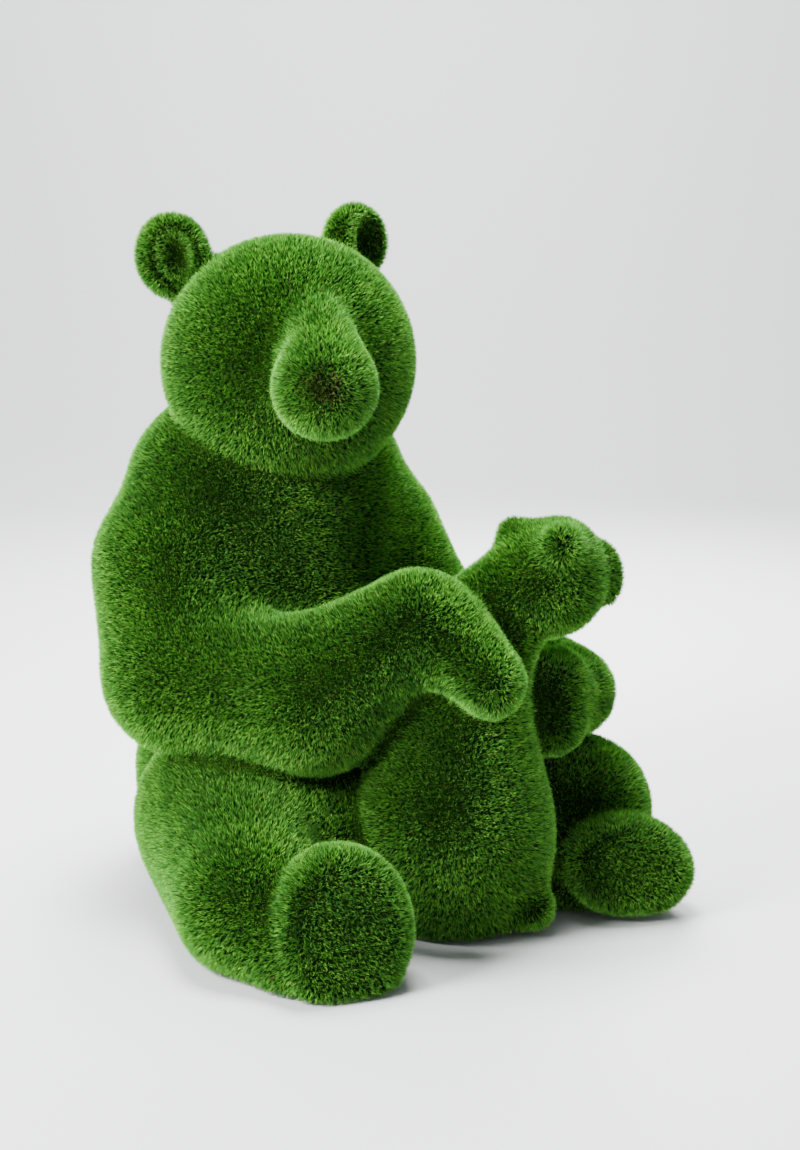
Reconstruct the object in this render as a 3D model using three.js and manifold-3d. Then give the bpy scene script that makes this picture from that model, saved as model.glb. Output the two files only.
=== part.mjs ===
import * as THREE from 'three';
import { mergeVertices } from 'three/addons/utils/BufferGeometryUtils.js';
import Module from 'manifold-3d';

// A seated bear hugging her cub, a garden figure covered all over in short turf. Both animals
// and the turf are one piece. The surface modelled here runs through the tips of the blades.
//
// Millimetres, +Z up. The bear faces -Y and her left is +X. The underside lies at Z = 0, and the
// origin is the middle of the footprint's bounding box.

// Driving sizes
const figureHeight = 1500; // floor to the tips of the ears
const broadFacet = 0.0375 * figureHeight; // facets on the large forms
const roundFacet = 0.028 * figureHeight; // facets on the head and on the cub's body
const fineFacet = 0.016 * figureHeight; // facets on the ears and on the cub's face
const shortestEdge = 0.003 * figureHeight; // edge of a facet where two forms meet

// Places and sizes of the free form are in hundredths of the figure's height
const percent = figureHeight / 100;

// Blends: how widely two forms run into each other
const broad = 7.5;
const soft = 4;
const firm = 2.4;
const crease = 1.3;

// Vectors and directions

const ahead = new THREE.Vector3(0, -1, 0);
const leftward = new THREE.Vector3(1, 0, 0);
const upward = new THREE.Vector3(0, 0, 1);

// A place given by how far it lies to the bear's left, ahead of her axis and above the floor
const place = (left, forward, up) => new THREE.Vector3(left, -forward, up).multiplyScalar(percent);

// The three directions of a form that is turned to the left, lifted at the nose and tilted at the
// crown towards the left, in degrees
function facing(turn, lift = 0, tilt = 0) {
  const angles = [-lift, tilt, turn].map(THREE.MathUtils.degToRad);
  const rotation = new THREE.Euler(...angles, 'ZXY');
  return {
    ahead: ahead.clone().applyEuler(rotation),
    left: leftward.clone().applyEuler(rotation),
    up: upward.clone().applyEuler(rotation),
  };
}

// The place that lies so far ahead of, to the left of and above a centre, along a form's directions
function offset(centre, axes, forward, left, up) {
  return centre.clone()
    .addScaledVector(axes.ahead, forward * percent)
    .addScaledVector(axes.left, left * percent)
    .addScaledVector(axes.up, up * percent);
}

// Forms: each is a function of a point that gives the distance to its surface, negative inside

const straight = facing(0);

function egg(centre, [deep, wide, tall], axes = straight) {
  const radii = [deep, wide, tall].map((size) => size * percent);
  const directions = [axes.ahead, axes.left, axes.up];
  return (x, y, z) => {
    const dx = x - centre.x;
    const dy = y - centre.y;
    const dz = z - centre.z;
    let scaled = 0;
    let slope = 0;
    for (let axis = 0; axis < 3; axis += 1) {
      const direction = directions[axis];
      const share = (dx * direction.x + dy * direction.y + dz * direction.z) / radii[axis];
      scaled += share * share;
      slope += (share / radii[axis]) ** 2;
    }
    const reach = Math.sqrt(scaled);
    return slope > 0 ? (reach * (reach - 1)) / Math.sqrt(slope) : -Math.min(...radii);
  };
}

// A cushion is an oval slab, flat in front and behind, with a rounded rim
function cushion(centre, [deep, wide, tall], rim, axes) {
  const [depth, width, height] = [deep, wide, tall].map((size) => (size - rim) * percent);
  return (x, y, z) => {
    const away = new THREE.Vector3(x, y, z).sub(centre);
    const oval = Math.hypot(away.dot(axes.left) / width, away.dot(axes.up) / height);
    const face = Math.abs(away.dot(axes.ahead)) - depth;
    const edge = (oval - 1) * Math.min(width, height);
    const outside = Math.hypot(Math.max(face, 0), Math.max(edge, 0));
    return outside + Math.min(Math.max(face, edge), 0) - rim * percent;
  };
}

// A limb runs from one ball to another of a different size
function limb(from, to, fromSize, toSize) {
  const fromRadius = fromSize * percent;
  const toRadius = toSize * percent;
  const axis = to.clone().sub(from);
  const length = axis.length();
  axis.normalize();
  const taper = (fromRadius - toRadius) / length;
  const side = Math.sqrt(1 - taper * taper);
  return (x, y, z) => {
    const dx = x - from.x;
    const dy = y - from.y;
    const dz = z - from.z;
    const run = dx * axis.x + dy * axis.y + dz * axis.z;
    const out = Math.sqrt(Math.max(dx * dx + dy * dy + dz * dz - run * run, 0));
    const foot = run - (out * taper) / side;
    if (foot <= 0) return Math.hypot(run, out) - fromRadius;
    if (foot >= length) return Math.hypot(run - length, out) - toRadius;
    return out * side + run * taper - fromRadius;
  };
}

function blendTwo(a, b, width) {
  const overlap = Math.max(width - Math.abs(a - b), 0);
  return Math.min(a, b) - (overlap * overlap) / (4 * width);
}

function join(blend, ...forms) {
  const width = blend * percent;
  return (x, y, z) => forms.slice(1).reduce(
    (distance, form) => blendTwo(distance, form(x, y, z), width),
    forms[0](x, y, z),
  );
}

function carve(blend, form, cutter) {
  const width = blend * percent;
  return (x, y, z) => -blendTwo(-form(x, y, z), cutter(x, y, z), width);
}

// The bear's trunk: broad hips, a belly, a chest and sloping shoulders

function trunk() {
  const hips = egg(place(0, -0.3, 14.3), [20, 22.3, 22]);
  const belly = egg(place(0, 12.7, 22), [15.3, 18, 20]);
  const chest = egg(place(0, 0, 45.3), [17.7, 20, 20]);
  const shoulders = egg(place(0, -1.3, 58.7), [16.7, 23, 16.3]);
  const tail = egg(place(0, -19.7, 7), [4.6, 5, 4.6]);
  return join(crease, join(broad, hips, chest, shoulders, belly), tail);
}

// Her arms: the right one comes over the cub and its mitten hangs down on the cub's side, and the
// left one reaches round the cub's back

const shoulderSize = 13.1;
const elbowSize = 11.1;

const upperArm = (side) => limb(
  place(side * 16.8, -0.1, 47.7),
  place(side * 21.7, 7.3, 34),
  shoulderSize,
  elbowSize,
);

function rightArm() {
  const elbow = place(-21.7, 9.3, 32.9);
  const middle = place(-11.9, 27.4, 32.7);
  const wrist = place(-3.6, 39.7, 44.3);
  const knuckles = place(-0.6, 41.3, 42.9);
  const fingertips = place(0.4, 51.1, 37.3);
  const forearm = join(
    soft,
    limb(elbow, middle, elbowSize, 10.7),
    limb(middle, wrist, 10.7, 7.7),
  );
  const mitten = limb(knuckles, fingertips, 7.1, 5.3);
  return join(firm, join(soft, upperArm(-1), forearm), mitten);
}

function leftArm() {
  const elbow = place(21.7, 9.3, 32.7);
  const wrist = place(25.3, 39.6, 29.8);
  const mitten = limb(place(18.6, 43.3, 32.8), place(17.2, 44, 28), 6, 6.1);
  return join(crease, join(soft, upperArm(1), limb(elbow, wrist, 10.7, 7.2)), mitten);
}

// Her legs lie on the floor with the feet turned out

function leg(side, { knee, kneeSize, ankle, ankleSize, heel, heelSize }) {
  const hip = place(side * 15.1, 10.9, 11.4);
  return join(firm, limb(hip, knee, 14.9, kneeSize), limb(ankle, heel, ankleSize, heelSize));
}

function legs() {
  const rightKnee = place(-28.3, 35.6, 8.3);
  const right = leg(-1, {
    knee: rightKnee,
    kneeSize: 10.8,
    ankle: rightKnee,
    ankleSize: 9.6,
    heel: place(-27, 45.4, 4.8),
    heelSize: 8.3,
  });
  const left = leg(1, {
    knee: place(27.5, 39.3, 11.5),
    kneeSize: 11.5,
    ankle: place(22.4, 44, 5.3),
    ankleSize: 9.3,
    heel: place(26.2, 51, 7),
    heelSize: 6.6,
  });
  const lap = egg(place(0, 24.7, 10), [20, 20, 12.7]);
  return join(soft, right, left, lap);
}

// Her soles are thick ovals that stand out from the ankles all round

const rightSolePlace = place(-24.2, 49.8, 7.8);
const leftSolePlace = place(24, 53.4, 7.2);

const rightSole = cushion(rightSolePlace, [5.6, 9.9, 11], 3.8, facing(-17, 8));
const leftSole = cushion(leftSolePlace, [5.6, 9, 7.8], 3.8, facing(-26, 8, 12));

// Her head is a flattened ball that looks back over her right arm, with a pear-shaped muzzle

const headPlace = place(-2.1, 7.9, 77.4);
const headTurn = -24;
const headTilt = -7;
const headAxes = facing(headTurn, 0, headTilt);
const earsTurn = 20;

function head() {
  const skull = egg(headPlace, [15.7, 19, 18.8], headAxes);
  const muzzle = limb(place(-10.5, 28.4, 75.9), place(-6.9, 22.8, 83.9), 7.6, 3.9);
  return join(soft, skull, muzzle);
}

function cuppedEar(centre, axes, size, cupSize, cupShift) {
  const lobe = egg(centre, size, axes);
  const cup = egg(offset(centre, axes, size[0], cupShift, 0), cupSize, axes);
  return carve(cupSize[0] / 3, lobe, cup);
}

const rightEarPlace = offset(headPlace, headAxes, -4.7, -14.1, 17.1);
const leftEarPlace = offset(headPlace, headAxes, -4.7, 13, 15.6);

function ear(side, centre, size) {
  const axes = facing(headTurn + side * earsTurn, 0, headTilt);
  return cuppedEar(centre, axes, size, [4.2, 2.3, 3.8], 0.9);
}

// The cub sits between her legs with its back to her left hand and looks up over its shoulder

function cubBody() {
  const rump = egg(place(3.5, 39.4, 8.1), [13.7, 13.7, 13.7]);
  const back = limb(place(2.2, 40.9, 15.3), place(4.2, 41.6, 30.2), 14.4, 8.7);
  const neck = limb(place(5.5, 40.9, 33.4), place(10.9, 42.6, 43.1), 6.7, 5.9);
  const tail = egg(place(7.9, 51.3, 3.7), [3.9, 3.9, 3.7]);
  return join(crease, join(soft, rump, back, neck), tail);
}

const cubHeadPlace = place(16.5, 45.3, 48.5);

function cubHead() {
  const axes = facing(-24, 34, 22);
  const skull = egg(cubHeadPlace, [7.5, 7.7, 8.4], axes);
  const nape = limb(place(8.7, 40.3, 45.5), place(15.7, 44.5, 49.6), 5.9, 6.9);
  const muzzle = limb(place(12.9, 51, 54.6), offset(cubHeadPlace, axes, 3.6, 0, 3.6), 3.6, 4);
  const rightEar = egg(place(13.6, 39.7, 55), [2.4, 2.4, 2.5]);
  const leftEarAxes = facing(-44, 0, -8);
  const leftEar = cuppedEar(place(23.7, 47.4, 49), leftEarAxes, [2.9, 3.6, 5.4], [2.4, 1.3, 2.6], 0.6);
  return join(crease, join(firm, join(soft, skull, nape), muzzle, rightEar), leftEar);
}

// The skin: one point in each grid cell that the surface crosses, drawn onto the surface

const corners = [0, 1, 2, 3, 4, 5, 6, 7].map((bits) => [bits & 1, (bits >> 1) & 1, (bits >> 2) & 1]);
const cellEdges = corners.flatMap((corner, first) => [0, 1, 2]
  .filter((axis) => corner[axis] === 0)
  .map((axis) => [first, first | (1 << axis)]));

function sampleGrid(form, low, counts, facet) {
  const values = new Float64Array(counts[0] * counts[1] * counts[2]);
  let index = 0;
  for (let k = 0; k < counts[2]; k += 1) {
    for (let j = 0; j < counts[1]; j += 1) {
      for (let i = 0; i < counts[0]; i += 1) {
        values[index] = form(low.x + i * facet, low.y + j * facet, low.z + k * facet);
        index += 1;
      }
    }
  }
  return values;
}

// The mean of the points where the surface crosses the cell's edges, or null if it doesn't
function crossingOf(values, at, cell) {
  const readings = corners.map(([i, j, k]) => values[at(cell[0] + i, cell[1] + j, cell[2] + k)]);
  const sum = new THREE.Vector3();
  let count = 0;
  for (const [first, second] of cellEdges) {
    const a = readings[first];
    const b = readings[second];
    if ((a < 0) !== (b < 0)) {
      const start = new THREE.Vector3(...corners[first]);
      const end = new THREE.Vector3(...corners[second]);
      sum.add(start.lerp(end, a / (a - b)));
      count += 1;
    }
  }
  if (count === 0) return null;
  return sum.divideScalar(count).add(new THREE.Vector3(...cell));
}

function drawSkin(form, box, facet) {
  const low = box.min;
  const counts = box.getSize(new THREE.Vector3()).toArray().map((size) => Math.ceil(size / facet) + 1);
  const at = (i, j, k) => i + counts[0] * (j + counts[1] * k);
  const values = sampleGrid(form, low, counts, facet);
  const points = [];
  const pointOfCell = new Map();
  for (let k = 0; k < counts[2] - 1; k += 1) {
    for (let j = 0; j < counts[1] - 1; j += 1) {
      for (let i = 0; i < counts[0] - 1; i += 1) {
        const point = crossingOf(values, at, [i, j, k]);
        if (point) {
          pointOfCell.set(at(i, j, k), points.length);
          points.push(point.multiplyScalar(facet).add(low));
        }
      }
    }
  }
  return { points, quads: quadsAcross(values, at, counts, pointOfCell) };
}

// Four cells meet at each grid edge that the surface crosses: their points make one facet
function quadsAcross(values, at, counts, pointOfCell) {
  const quads = [];
  for (let k = 1; k < counts[2] - 1; k += 1) {
    for (let j = 1; j < counts[1] - 1; j += 1) {
      for (let i = 1; i < counts[0] - 1; i += 1) {
        const inside = values[at(i, j, k)] < 0;
        for (let axis = 0; axis < 3; axis += 1) {
          const next = [i, j, k];
          next[axis] += 1;
          if (inside !== values[at(...next)] < 0) {
            const ring = ringAround([i, j, k], axis).map((cell) => pointOfCell.get(at(...cell)));
            quads.push(inside ? ring : ring.reverse());
          }
        }
      }
    }
  }
  return quads;
}

// The four cells around a grid edge, anticlockwise as seen from the edge's far end
function ringAround(corner, axis) {
  const across = (axis + 1) % 3;
  const beside = (axis + 2) % 3;
  return [[-1, -1], [0, -1], [0, 0], [-1, 0]].map(([first, second]) => {
    const cell = [...corner];
    cell[across] += first;
    cell[beside] += second;
    return cell;
  });
}

// Evens the facets out, and draws each point back onto the surface along the form's slope

const settlingRounds = 8;
const settlingShare = 0.5;
const probe = 0.001 * figureHeight;

function slopeAt(form, p) {
  return new THREE.Vector3(
    form(p.x + probe, p.y, p.z) - form(p.x - probe, p.y, p.z),
    form(p.x, p.y + probe, p.z) - form(p.x, p.y - probe, p.z),
    form(p.x, p.y, p.z + probe) - form(p.x, p.y, p.z - probe),
  ).divideScalar(2 * probe);
}

function settle(form, points, quads) {
  for (let round = 0; round < settlingRounds; round += 1) {
    const sums = points.map(() => new THREE.Vector3());
    const counts = points.map(() => 0);
    for (const quad of quads) {
      quad.forEach((index, turn) => {
        sums[index].add(points[quad[(turn + 1) % 4]]).add(points[quad[(turn + 3) % 4]]);
        counts[index] += 2;
      });
    }
    points.forEach((point, index) => {
      point.lerp(sums[index].divideScalar(counts[index]), settlingShare);
      const slope = slopeAt(form, point);
      const distance = form(point.x, point.y, point.z);
      point.addScaledVector(slope, -distance / Math.max(slope.lengthSq(), settlingShare));
    });
  }
}

// Each facet is split along its shorter diagonal
function splitQuads(points, quads) {
  return quads.flatMap(([a, b, c, d]) => (
    points[a].distanceTo(points[c]) < points[b].distanceTo(points[d])
      ? [a, b, c, a, c, d]
      : [a, b, d, b, c, d]
  ));
}

// Solids

const wasm = await Module();
wasm.setup();

function solidOf(positions, indices) {
  const mesh = new wasm.Mesh({
    numProp: 3,
    vertProperties: Float32Array.from(positions),
    triVerts: Uint32Array.from(indices),
  });
  return new wasm.Manifold(mesh);
}

// The solid of a form that lies within so many hundredths of the height of its middle
function skinSolid(form, middle, reach, facet) {
  const box = new THREE.Box3().setFromPoints([middle]).expandByVector(place(reach[0], -reach[1], reach[2]));
  const { points, quads } = drawSkin(form, box, facet);
  settle(form, points, quads);
  return solidOf(points.flatMap((point) => point.toArray()), splitQuads(points, quads));
}

// A block whose top is the floor cuts the underside flat
function floorBlock() {
  const side = 2 * figureHeight;
  const [x, y, z] = [side / 2, side / 2, side / 2];
  const positions = corners.flatMap(([i, j, k]) => [(2 * i - 1) * x, (2 * j - 1) * y, (2 * k - 2) * z]);
  const faces = [[0, 2, 3, 1], [4, 5, 7, 6], [0, 1, 5, 4], [2, 6, 7, 3], [0, 4, 6, 2], [1, 3, 7, 5]];
  return solidOf(positions, faces.flatMap(([a, b, c, d]) => [a, b, c, a, c, d]));
}

function neighboursOf(facets) {
  const neighbours = new Map();
  for (const facet of facets) {
    facet.forEach((point, turn) => {
      if (!neighbours.has(point)) neighbours.set(point, new Set());
      neighbours.get(point).add(facet[(turn + 1) % 3]).add(facet[(turn + 2) % 3]);
    });
  }
  return neighbours;
}

// Where two skins meet, the ends of a very short edge become one point, the lower of the two.
// Ends that share more than the two points beside their edge stay apart: the skin would touch itself.
function closeShortEdges({ vertProperties, triVerts }, shortest) {
  const facets = [];
  for (let first = 0; first < triVerts.length; first += 3) {
    facets.push([...triVerts.slice(first, first + 3)]);
  }
  const pointAt = (index) => new THREE.Vector3().fromArray(vertProperties, 3 * index);
  const neighbours = neighboursOf(facets);
  const joined = new Map();
  const resolve = (index) => (joined.has(index) ? resolve(joined.get(index)) : index);
  for (const facet of facets) {
    for (let turn = 0; turn < 3; turn += 1) {
      const ends = [facet[turn], facet[(turn + 1) % 3]].map(resolve);
      const [low, high] = ends.sort((a, b) => pointAt(a).z - pointAt(b).z);
      const shared = [...neighbours.get(low)].filter((point) => neighbours.get(high).has(point));
      if (low !== high && shared.length === 2 && pointAt(low).distanceTo(pointAt(high)) < shortest) {
        joined.set(high, low);
        neighbours.get(high).forEach((point) => {
          neighbours.get(point).delete(high);
          if (point !== low) {
            neighbours.get(point).add(low);
            neighbours.get(low).add(point);
          }
        });
      }
    }
  }
  return facets.map((facet) => facet.map(resolve)).filter((facet) => new Set(facet).size === 3);
}

function geometryOf(solid) {
  const mesh = solid.getMesh();
  const geometry = new THREE.BufferGeometry();
  geometry.setAttribute('position', new THREE.BufferAttribute(mesh.vertProperties, 3));
  geometry.setIndex(closeShortEdges(mesh, shortestEdge).flat());
  const merged = mergeVertices(geometry);
  merged.computeVertexNormals();
  return merged;
}

const turf = new THREE.MeshStandardMaterial({ color: 0x3c7a1c, roughness: 0.9, metalness: 0 });

function pandaWithCub() {
  const body = join(soft, trunk(), rightArm(), leftArm());
  const rightEar = ear(-1, rightEarPlace, [4, 6, 6.8]);
  const leftEar = ear(1, leftEarPlace, [4, 5.7, 6.2]);
  const solid = skinSolid(body, place(0, 18, 34), [60, 64, 58], broadFacet)
    .add(skinSolid(legs(), place(0, 30, 8), [60, 50, 30], broadFacet))
    .add(skinSolid(rightSole, rightSolePlace, [16, 16, 16], roundFacet))
    .add(skinSolid(leftSole, leftSolePlace, [16, 16, 16], roundFacet))
    .add(skinSolid(head(), place(-4, 14, 80), [34, 38, 34], roundFacet))
    .add(skinSolid(rightEar, rightEarPlace, [12, 12, 12], fineFacet))
    .add(skinSolid(leftEar, leftEarPlace, [12, 12, 12], fineFacet))
    .add(skinSolid(cubBody(), place(5, 41, 22), [28, 28, 46], roundFacet))
    .add(skinSolid(cubHead(), cubHeadPlace, [22, 20, 20], fineFacet))
    .subtract(floorBlock());
  const mesh = new THREE.Mesh(geometryOf(solid), turf);
  mesh.name = 'panda_with_cub';
  const middle = new THREE.Box3().setFromObject(mesh).getCenter(new THREE.Vector3());
  mesh.position.set(-middle.x, -middle.y, 0);
  return mesh;
}

const figure = new THREE.Group();
figure.add(pandaWithCub());

export default figure;
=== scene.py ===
"""A seated bear hugging her cub, covered all over in short artificial turf.

Metres, +Z up. The bear's body faces -Y and her left is +X.
"""

import math

import bpy
import numpy as np
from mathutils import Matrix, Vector


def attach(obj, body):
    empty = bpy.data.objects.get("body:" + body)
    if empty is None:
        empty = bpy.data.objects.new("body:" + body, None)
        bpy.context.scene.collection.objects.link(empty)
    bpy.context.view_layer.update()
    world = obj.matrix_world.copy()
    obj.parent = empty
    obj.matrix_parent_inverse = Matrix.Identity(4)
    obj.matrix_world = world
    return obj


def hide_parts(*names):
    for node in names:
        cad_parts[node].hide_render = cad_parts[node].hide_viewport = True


NODE = "panda_with_cub"
BODY = "root"

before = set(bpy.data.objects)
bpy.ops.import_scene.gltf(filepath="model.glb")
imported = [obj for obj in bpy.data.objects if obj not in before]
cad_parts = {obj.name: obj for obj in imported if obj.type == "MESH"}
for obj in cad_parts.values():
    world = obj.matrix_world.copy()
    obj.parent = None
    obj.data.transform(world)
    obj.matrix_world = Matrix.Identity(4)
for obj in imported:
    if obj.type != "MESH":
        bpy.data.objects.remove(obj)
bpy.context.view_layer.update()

# The skin: the node's own surface, with its facets rounded off. The blades' tips lie close to it.

SKIN_VOXEL = 0.009
SKIN_SMOOTHING = 4
SMOOTHING_FACTOR = 0.5  # share of the way to its neighbours' middle that a point moves each time

# The backing: a closed dark body under the blades

BACKING_DEPTH = 0.0138  # under the skin
BACKING_VOXEL = 0.016
BACKING_SMOOTHING = 2

# The blades, in tufts

TURF_PIECES = ("turf_feet", "turf_legs", "turf_arms", "turf_shoulders", "turf_head")
SEED = 7
TUFTS = 308_000
TUFT_BLADES = 3
TUFT_SPREAD = 0.0008  # from the middle of a tuft to its roots
TUFT_LEAN = 0.26  # largest sideways run of a tuft to its rise
BLADE_LEAN = 0.24  # largest sideways run that a blade adds to its tuft's
PILE = 0.016  # depth of the roots under the skin
BLADE_LENGTH = (0.84, 1.2)  # shortest and longest, as shares of the pile
BLADE_WIDTH = 0.0025  # usual width at the root; a blade runs to a point
HALF_WIDTH = (0.4, 0.6)  # smallest and largest half of a root, as shares of the blade's width
FLOOR_GAP = 0.001  # lowest point of a blade above the floor
BARE_BELOW = 0.012  # the underside under this height has no tufts
BARE_FACING = -0.75  # highest vertical part of the normal that makes skin part of the underside

# Colour: a blade takes a thin column of one shared map, which runs from its root up to its tip

UV_MAP = "OFBake"
COLUMN = 0.002  # half of a blade's width on the map
TURF_TINTS = (  # from straw and olive over deep green to fresh yellow green
    (0.00, (0.300, 0.240, 0.090)),
    (0.05, (0.150, 0.210, 0.045)),
    (0.10, (0.045, 0.170, 0.030)),
    (0.60, (0.110, 0.385, 0.042)),
    (1.00, (0.280, 0.640, 0.080)),
)
# Painted shade of the pile: each blade is painted darkest at its root and brightest at its tip, in
# place of the shade that falls deep between the blades
PAINTED_DARK_ROOT = 0.34  # share of a blade's height that is as dark as its root
PAINTED_PILE_SHADES = (0.03, 1.9)  # factors of the tint at the root and at the tip
TURF_ROUGHNESS = 0.5
TURF_GLOSS = 0.22

MIDDLE_TINT = 0.5
TINT_PATCHES = ((0.06, 0.16), (0.05, 0.035))  # strength and size of each layer of patches
TUFT_TINT = 0.27  # spread of the tufts' tints
BLADE_TINT = 0.06  # spread of the blades' tints within a tuft
DEEPEST_GREEN = 0.2  # lowest tint of a green tuft
DRY_TINTS = (0.0, 0.05)
DRY_SHARE = 0.012  # of all tufts
NOSE_TIP = (-0.221, -0.238, 1.151)  # more tufts are dry there
WORN_REACH = 0.035
WORN_SHARE = 0.8  # of the tufts at the very tip of the nose

NOISE_WAVES = 24
NOISE_PACE = (0.6, 1.6)  # slowest and fastest wave of a noise, where 1 is half a wave to a patch

BACKING_TINTS = ((0.35, (0.010, 0.030, 0.004)), (0.65, (0.020, 0.050, 0.006)))
BACKING_SPECKS = 60.0  # to a metre
BACKING_ROUGHNESS = 0.9
BACKING_GLOSS = 0.0

# The camera, at the photograph's viewing angle

CAMERA_PLACE = (-2.5594, -3.4715, 1.58)
CAMERA_TURN = (78.537, 0.0, -38.0)
CAMERA_LENS = 62.98
SENSOR_HEIGHT = 36.0

# The floor and its backdrop, square to the view

FLOOR_FRONT = -9.0
FLOOR_BACK = 5.0
FLOOR_HALF_WIDTH = 14.0
BEND_RADIUS = 2.5
BEND_STEPS = 24
BACKDROP_TOP = 7.0
FLOOR_COLOR = (0.86, 0.865, 0.875)
FLOOR_ROUGHNESS = 0.6
FLOOR_GLOSS = 0.5

# The lights: name, place, aim, size and watts

FIGURE_MIDDLE = (0.0, -0.1, 0.75)
BACKDROP_MIDDLE = (4.2, 5.4, 2.2)
LIGHTS = (
    ("key", (-4.2, 0.3, 3.3), FIGURE_MIDDLE, 2.2, 600.0),
    ("rim", (3.0, 2.2, 3.0), FIGURE_MIDDLE, 2.4, 300.0),
    ("top", (0.2, 0.5, 4.2), FIGURE_MIDDLE, 2.4, 460.0),
    ("backdrop", (1.6, 2.0, 4.6), BACKDROP_MIDDLE, 3.0, 430.0),
)
WORLD_COLOR = (0.93, 0.96, 1.0)
WORLD_STRENGTH = 0.27


# Objects and materials


def new_object(name, data):
    """An object of the scene that carries this mesh, light or camera."""
    made = bpy.data.objects.new(name, data)
    bpy.context.scene.collection.objects.link(made)
    return made


def new_material(name, roughness, gloss):
    """A material, its node tree and its shader."""
    material = bpy.data.materials.new(name)
    material.use_nodes = True
    shader = material.node_tree.nodes["Principled BSDF"]
    shader.inputs["Roughness"].default_value = roughness
    shader.inputs["Specular IOR Level"].default_value = gloss
    return material, material.node_tree, shader


def ramp(tree, stops):
    """A colour ramp through these places and colours."""
    node = tree.nodes.new("ShaderNodeValToRGB")
    elements = node.color_ramp.elements
    while len(elements) < len(stops):
        elements.new(0.5)
    for element, (position, color) in zip(elements, stops):
        element.position = position
        element.color = (*color, 1.0)
    return node


def turf_material():
    """The blades' material: their tint from across the map, with painted shade of the pile, darker
    towards the root and brighter at the tip.
    """
    material, tree, shader = new_material("turf_blades", TURF_ROUGHNESS, TURF_GLOSS)
    place = tree.nodes.new("ShaderNodeUVMap")
    place.uv_map = UV_MAP
    split = tree.nodes.new("ShaderNodeSeparateXYZ")
    tint = ramp(tree, TURF_TINTS)
    # painted shade of the pile: the tint scaled from dark at the root to bright at the tip
    painted_shade = tree.nodes.new("ShaderNodeMapRange")
    painted_shade.inputs["From Min"].default_value = PAINTED_DARK_ROOT
    painted_shade.inputs["To Min"].default_value = PAINTED_PILE_SHADES[0]
    painted_shade.inputs["To Max"].default_value = PAINTED_PILE_SHADES[1]
    mix = tree.nodes.new("ShaderNodeVectorMath")
    mix.operation = "SCALE"
    tree.links.new(place.outputs["UV"], split.inputs["Vector"])
    tree.links.new(split.outputs["X"], tint.inputs["Fac"])
    tree.links.new(split.outputs["Y"], painted_shade.inputs["Value"])
    tree.links.new(tint.outputs["Color"], mix.inputs["Vector"])
    tree.links.new(painted_shade.outputs["Result"], mix.inputs["Scale"])
    tree.links.new(mix.outputs["Vector"], shader.inputs["Base Color"])
    return material


def backing_material():
    """The backing's material: two very dark greens in small specks."""
    material, tree, shader = new_material("turf_backing", BACKING_ROUGHNESS, BACKING_GLOSS)
    place = tree.nodes.new("ShaderNodeTexCoord")
    noise = tree.nodes.new("ShaderNodeTexNoise")
    noise.inputs["Scale"].default_value = BACKING_SPECKS
    tint = ramp(tree, BACKING_TINTS)
    tree.links.new(place.outputs["Object"], noise.inputs["Vector"])
    tree.links.new(noise.outputs["Fac"], tint.inputs["Fac"])
    tree.links.new(tint.outputs["Color"], shader.inputs["Base Color"])
    return material


def finish_piece(name, mesh, material):
    """A piece of the figure: it rides on the body and stands for the node."""
    mesh.materials.clear()
    mesh.materials.append(material)
    piece = new_object(name, mesh)
    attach(piece, BODY)
    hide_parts(NODE)


# Camera, floor and lights


def make_camera():
    data = bpy.data.cameras.new("camera")
    data.sensor_fit = "VERTICAL"
    data.sensor_height = SENSOR_HEIGHT
    data.lens = CAMERA_LENS
    camera = new_object("camera", data)
    camera.location = CAMERA_PLACE
    camera.rotation_euler = [math.radians(angle) for angle in CAMERA_TURN]
    bpy.context.scene.camera = camera


def make_floor():
    """A pale floor that bends up into a backdrop behind the figure."""
    profile = [(FLOOR_FRONT, 0.0)]
    for step in range(BEND_STEPS + 1):
        angle = math.radians(90.0) * step / BEND_STEPS
        depth = FLOOR_BACK + BEND_RADIUS * math.sin(angle)
        profile.append((depth, BEND_RADIUS * (1.0 - math.cos(angle))))
    profile.append((FLOOR_BACK + BEND_RADIUS, BACKDROP_TOP))
    turn = math.radians(CAMERA_TURN[2])
    across = Vector((math.cos(turn), math.sin(turn), 0.0))
    away = Vector((-math.sin(turn), math.cos(turn), 0.0))
    points = []
    for depth, height in profile:
        for side in (-FLOOR_HALF_WIDTH, FLOOR_HALF_WIDTH):
            points.append(across * side + away * depth + Vector((0.0, 0.0, height)))
    faces = [(2 * i, 2 * i + 1, 2 * i + 3, 2 * i + 2) for i in range(len(profile) - 1)]
    mesh = bpy.data.meshes.new("floor")
    mesh.from_pydata(points, [], faces)
    mesh.shade_smooth()
    material, _, shader = new_material("floor_paint", FLOOR_ROUGHNESS, FLOOR_GLOSS)
    shader.inputs["Base Color"].default_value = (*FLOOR_COLOR, 1.0)
    mesh.materials.append(material)
    new_object("floor", mesh)


def make_light(name, place, aim, size, watts):
    """A round soft light that points at its aim."""
    data = bpy.data.lights.new(name, "AREA")
    data.shape = "DISK"
    data.size = size
    data.energy = watts
    light = new_object(name, data)
    light.location = place
    light.rotation_euler = (Vector(aim) - Vector(place)).to_track_quat("-Z", "Y").to_euler()


def make_lights():
    world = bpy.data.worlds.new("studio")
    world.use_nodes = True
    background = world.node_tree.nodes["Background"]
    background.inputs["Color"].default_value = (*WORLD_COLOR, 1.0)
    background.inputs["Strength"].default_value = WORLD_STRENGTH
    bpy.context.scene.world = world
    for light in LIGHTS:
        make_light(*light)


# The skin and the backing


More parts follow.
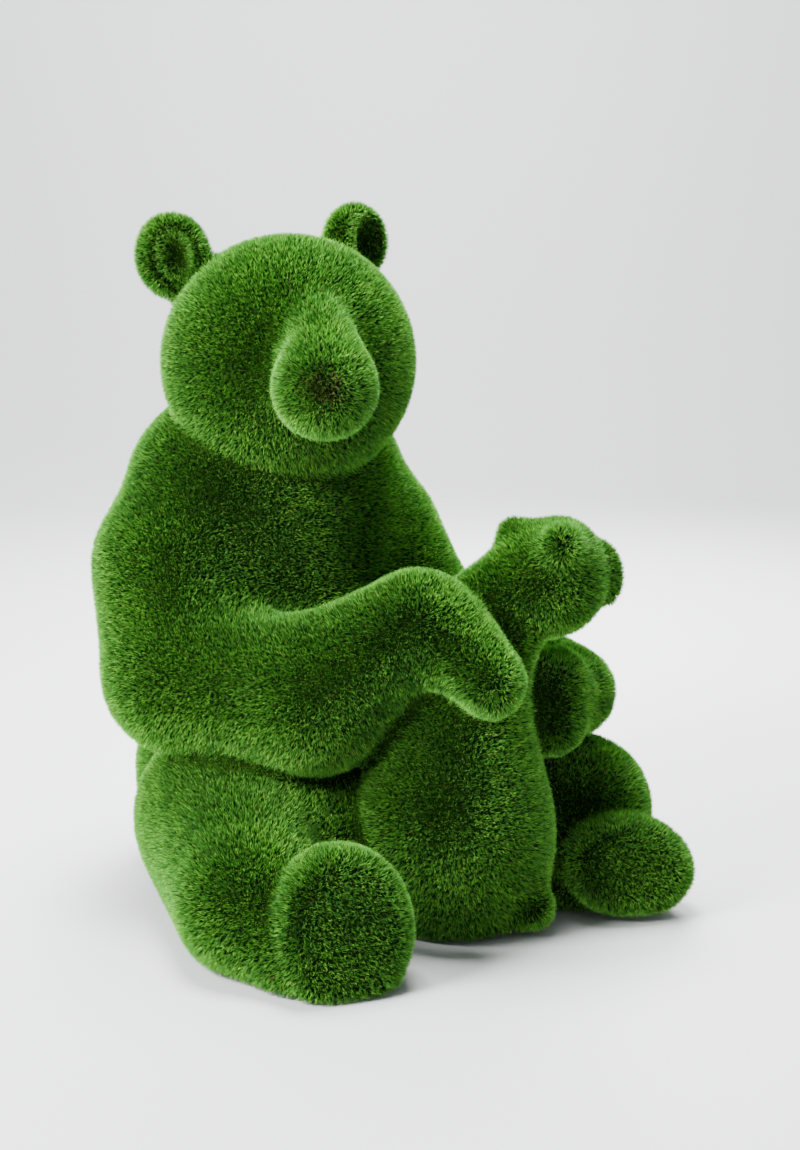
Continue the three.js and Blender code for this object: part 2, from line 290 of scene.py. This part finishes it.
def arrays_of(mesh):
    """The mesh's points, their normals and its triangles."""
    points = np.empty(len(mesh.vertices) * 3)
    mesh.vertices.foreach_get("co", points)
    normals = np.empty(len(mesh.vertices) * 3)
    mesh.vertex_normals.foreach_get("vector", normals)
    mesh.calc_loop_triangles()
    triangles = np.empty(len(mesh.loop_triangles) * 3, dtype=np.int32)
    mesh.loop_triangles.foreach_get("vertices", triangles)
    return points.reshape(-1, 3), normals.reshape(-1, 3), triangles.reshape(-1, 3)


def set_points(mesh, points):
    """Moves the mesh's points, none of them to under the floor."""
    points[:, 2] = np.maximum(points[:, 2], 0.0)
    mesh.vertices.foreach_set("co", points.ravel())
    mesh.update()


def evened(mesh, voxel, smoothing):
    """A copy of a closed mesh drawn anew in even, smoothed faces."""
    carrier = new_object("carrier", mesh.copy())
    remesh = carrier.modifiers.new("even", "REMESH")
    remesh.mode = "VOXEL"
    remesh.voxel_size = voxel
    smooth = carrier.modifiers.new("round", "SMOOTH")
    smooth.factor = SMOOTHING_FACTOR
    smooth.iterations = smoothing
    evaluated = carrier.evaluated_get(bpy.context.evaluated_depsgraph_get())
    made = bpy.data.meshes.new_from_object(evaluated)
    bpy.data.objects.remove(carrier)
    return made


def make_backing(skin):
    points, normals, _ = arrays_of(skin)
    inner = skin.copy()
    set_points(inner, points - normals * BACKING_DEPTH)
    backing = evened(inner, BACKING_VOXEL, BACKING_SMOOTHING)
    points, _, _ = arrays_of(backing)
    set_points(backing, points)
    backing.shade_smooth()
    finish_piece("turf_backing", backing, backing_material())


# The blades


def unit(vectors):
    return vectors / np.linalg.norm(vectors, axis=1, keepdims=True)


def sideways(normals, random):
    """A random direction for each normal, square to it."""
    aside = random.normal(size=normals.shape)
    return unit(aside - normals * (aside * normals).sum(axis=1, keepdims=True))


def spread_evenly(weights, count, random):
    """Indices drawn in proportion to their weights, as evenly as the count allows."""
    ends = np.cumsum(weights)
    steps = (np.arange(count) + random.random(count)) * (ends[-1] / count)
    return np.minimum(np.searchsorted(ends, steps), len(weights) - 1)


def soft_noise(places, size, random):
    """A smooth random value for each place, about zero, in patches of about this size."""
    directions = unit(random.normal(size=(NOISE_WAVES, 3)))
    pace = random.uniform(*NOISE_PACE, NOISE_WAVES) * (math.pi / size)
    starts = random.uniform(0.0, math.tau, NOISE_WAVES)
    angles = places @ (directions * pace[:, None]).T + starts
    return np.sin(angles).sum(axis=1) / math.sqrt(NOISE_WAVES / 2.0)


def seat_tufts(skin, random):
    """Where each tuft's tip meets the skin, and the skin's normal there."""
    points, normals, triangles = arrays_of(skin)
    corners = points[triangles]
    crosses = np.cross(corners[:, 1] - corners[:, 0], corners[:, 2] - corners[:, 0])
    weights = np.linalg.norm(crosses, axis=1)
    underside = (crosses[:, 2] < BARE_FACING * weights) & (corners[:, :, 2].max(axis=1) < BARE_BELOW)
    weights[underside] = 0.0
    chosen = triangles[spread_evenly(weights, TUFTS, random)]
    first, second = random.random((2, TUFTS))
    folded = first + second > 1.0
    first[folded] = 1.0 - first[folded]
    second[folded] = 1.0 - second[folded]
    shares = np.stack([1.0 - first - second, first, second], axis=1)[:, :, None]
    places = (points[chosen] * shares).sum(axis=1)
    return places, unit((normals[chosen] * shares).sum(axis=1))


def shape_blades(places, normals, random):
    """Three points for each blade: the two sides of its root, and its tip."""
    lean = sideways(normals, random) * TUFT_LEAN * random.random((len(places), 1))
    lean, places, normals = (np.repeat(rows, TUFT_BLADES, axis=0) for rows in (lean, places, normals))
    count = len(places)
    lean += sideways(normals, random) * BLADE_LEAN * np.sqrt(random.random((count, 1)))
    course = unit(normals + lean)
    length = PILE * random.uniform(*BLADE_LENGTH, (count, 1))
    root = places - normals * PILE + sideways(normals, random) * TUFT_SPREAD
    half = sideways(course, random) * BLADE_WIDTH * random.uniform(*HALF_WIDTH, (count, 1))
    blades = np.stack([root - half, root + half, root + course * length], axis=1)
    blades[:, :, 2] = np.maximum(blades[:, :, 2], FLOOR_GAP)
    return blades


def tint_blades(places, random):
    """Where each blade's column lies across the colour map, for the tufts at these places."""
    patches = sum(strength * soft_noise(places, size, random) for strength, size in TINT_PATCHES)
    tint = MIDDLE_TINT + patches + random.normal(0.0, TUFT_TINT, len(places))
    tint = np.clip(tint, DEEPEST_GREEN, 1.0)
    worn = np.exp(-(((places - NOSE_TIP) / WORN_REACH) ** 2).sum(axis=1))
    dry = random.random(len(places)) < DRY_SHARE + WORN_SHARE * worn
    tint[dry] = random.uniform(*DRY_TINTS, dry.sum())
    tint = np.repeat(tint, TUFT_BLADES)
    return np.clip(tint + random.normal(0.0, BLADE_TINT, len(tint)), 0.0, 1.0)


def blade_mesh(name, blades, tint):
    """A mesh of one triangle to a blade, each with its column of the colour map."""
    count = len(blades)
    mesh = bpy.data.meshes.new(name)
    mesh.vertices.add(3 * count)
    mesh.vertices.foreach_set("co", blades.ravel())
    mesh.loops.add(3 * count)
    mesh.loops.foreach_set("vertex_index", np.arange(3 * count, dtype=np.int32))
    mesh.polygons.add(count)
    mesh.polygons.foreach_set("loop_start", np.arange(0, 3 * count, 3, dtype=np.int32))
    middle = COLUMN + tint * (1.0 - 2.0 * COLUMN)
    across = np.stack([middle - COLUMN, middle + COLUMN, middle], axis=1)
    up = np.broadcast_to(np.array((0.0, 0.0, 1.0)), across.shape)
    columns = mesh.uv_layers.new(name=UV_MAP)
    columns.data.foreach_set("uv", np.stack([across, up], axis=2).ravel())
    mesh.update()
    mesh.validate()
    return mesh


def make_turf(skin):
    """The blades, from the lowest up, in pieces of one size."""
    random = np.random.default_rng(SEED)
    places, normals = seat_tufts(skin, random)
    order = np.argsort(places[:, 2], kind="stable")
    places, normals = places[order], normals[order]
    blades = np.array_split(shape_blades(places, normals, random), len(TURF_PIECES))
    tints = np.array_split(tint_blades(places, random), len(TURF_PIECES))
    material = turf_material()
    for name, some, tint in zip(TURF_PIECES, blades, tints):
        finish_piece(name, blade_mesh(name, some, tint), material)


make_camera()
make_floor()
make_lights()
skin = evened(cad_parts[NODE].data, SKIN_VOXEL, SKIN_SMOOTHING)
make_backing(skin)
make_turf(skin)
